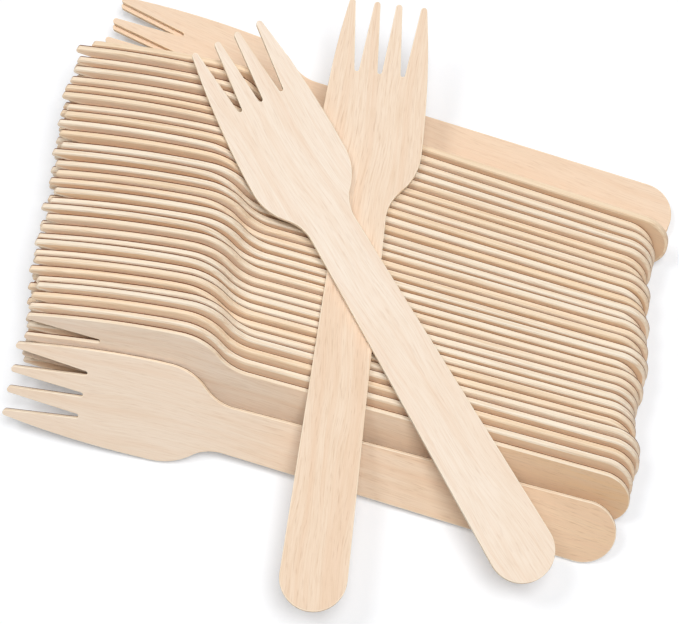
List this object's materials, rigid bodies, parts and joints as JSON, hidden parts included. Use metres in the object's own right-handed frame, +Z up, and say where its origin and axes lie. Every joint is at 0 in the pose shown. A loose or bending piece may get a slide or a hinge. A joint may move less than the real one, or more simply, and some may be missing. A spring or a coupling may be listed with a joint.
{
  "type": "wooden fork pack",
  "caption": "Loose pack of pale wooden forks: a leaning row on edge, fallen forks lying flat behind it and a crossed pair on top.",
  "frame": {"origin": "middle of the pack's bounding box on the table", "axes": "+Z up from the table, +X along the row's forks towards their handle ends, +Y from the front of the row to its back"},
  "size_m": [0.17, 0.1598, 0.0313],
  "materials": {
    "birch": "sanded, uncoated"
  },
  "bodies": {
    "root": {"row_fork_01": "birch", "row_fork_02": "birch", "row_fork_03": "birch", "row_fork_04": "birch", "row_fork_05": "birch", "row_fork_06": "birch", "row_fork_07": "birch", "row_fork_08": "birch", "row_fork_09": "birch", "row_fork_10": "birch", "row_fork_11": "birch", "row_fork_12": "birch", "row_fork_13": "birch", "row_fork_14": "birch", "row_fork_15": "birch", "row_fork_16": "birch", "row_fork_17": "birch", "row_fork_18": "birch", "row_fork_19": "birch", "row_fork_20": "birch", "row_fork_21": "birch", "row_fork_22": "birch", "row_fork_23": "birch", "row_fork_24": "birch", "row_fork_25": "birch", "row_fork_26": "birch", "row_fork_27": "birch", "row_fork_28": "birch", "row_fork_29": "birch", "row_fork_30": "birch", "row_fork_31": "birch", "row_fork_32": "birch", "fallen_fork_lower": "birch", "fallen_fork_upper": "birch", "crossed_fork_under": "birch", "crossed_fork_over": "birch"}
  },
  "joints": []
}
